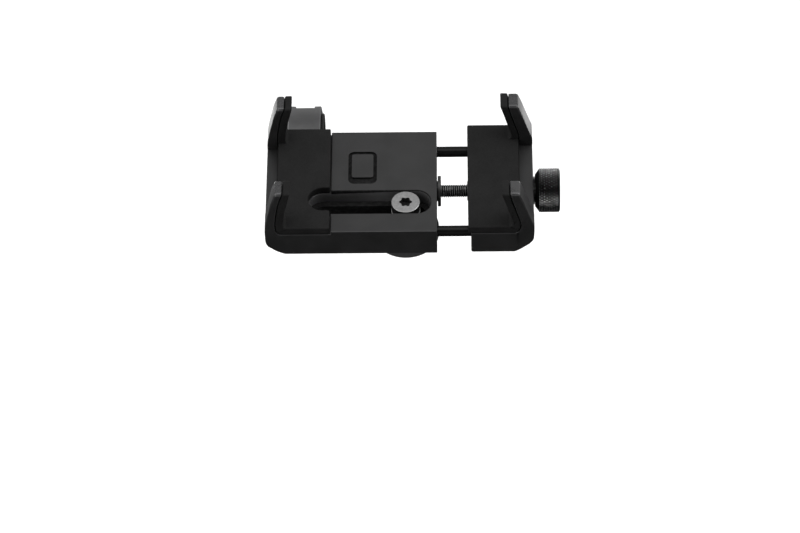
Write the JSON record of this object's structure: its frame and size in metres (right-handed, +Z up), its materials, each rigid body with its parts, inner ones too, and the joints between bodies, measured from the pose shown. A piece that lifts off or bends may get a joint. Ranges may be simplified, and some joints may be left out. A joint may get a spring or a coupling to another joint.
{
  "type": "handlebar phone mount",
  "caption": "Clamp-on handlebar phone holder: slotted metal cradle with rubber-faced claws and a sliding jaw closed by a knurled knob.",
  "frame": {"origin": "on the handlebar's axis, at the middle of the clamp's width", "axes": "+X along the handlebar toward the knob, +Y forward, away from the rider, +Z up, square to the cradle plate"},
  "size_m": [0.109, 0.093, 0.0776],
  "materials": {
    "cradle_anodised": "black anodised, fine satin",
    "clamp_anodised": "dark grey anodised, satin",
    "knob_anodised": "black anodised, knurled",
    "rubber": "matt moulded",
    "bright_steel": "satin bright",
    "black_steel": "black oxide",
    "nylon": "matt"
  },
  "bodies": {
    "bracket": {"clamp_bracket": "clamp_anodised", "liner_upper": "rubber", "hinge_pin": "bright_steel", "slot_screw": "bright_steel"},
    "gate": {"clamp_gate": "clamp_anodised", "liner_lower": "rubber", "clamp_bolt": "black_steel", "clamp_bolt_washer": "bright_steel"},
    "swivel": {"slot_washer": "bright_steel", "friction_disc": "nylon"},
    "cradle": {"cradle_body": "cradle_anodised", "cradle_pad": "rubber", "thread_bush": "black_steel"},
    "jaw": {"jaw_body": "cradle_anodised", "jaw_pad": "rubber", "guide_rod_front": "black_steel", "guide_rod_rear": "black_steel"},
    "spindle": {"lead_screw": "black_steel", "retaining_clip": "black_steel", "thrust_washer": "nylon", "knurled_knob": "knob_anodised", "knob_grub_screw": "black_steel"}
  },
  "joints": [
    {"name": "gate_hinge", "type": "hinge", "parent": "bracket", "child": "gate", "pos_m": [0, 0.023, 0], "axis": [1, 0, 0], "range_deg": [0, 80]},
    {"name": "cradle_swivel", "type": "hinge", "parent": "bracket", "child": "swivel", "pos_m": [0.0388, -0.0516, 0.0229], "axis": [0, 0, 1], "range_deg": [-90, 90]},
    {"name": "slot_slide", "type": "slide", "parent": "swivel", "child": "cradle", "axis": [1, 0, 0], "range_m": [-0.0037, 0.0302]},
    {"name": "jaw_slide", "type": "slide", "parent": "cradle", "child": "jaw", "axis": [1, 0, 0], "range_m": [-0.0094, 0.025]},
    {"name": "knob_spin", "type": "hinge", "parent": "jaw", "child": "spindle", "pos_m": [0.09, -0.0414, 0.0295], "axis": [1, 0, 0], "range_deg": [-4235, 11255]}
  ],
  "couplings": [
    {"joint": "knob_spin", "follows": "jaw_slide", "rad_per_m": 7854}
  ]
}
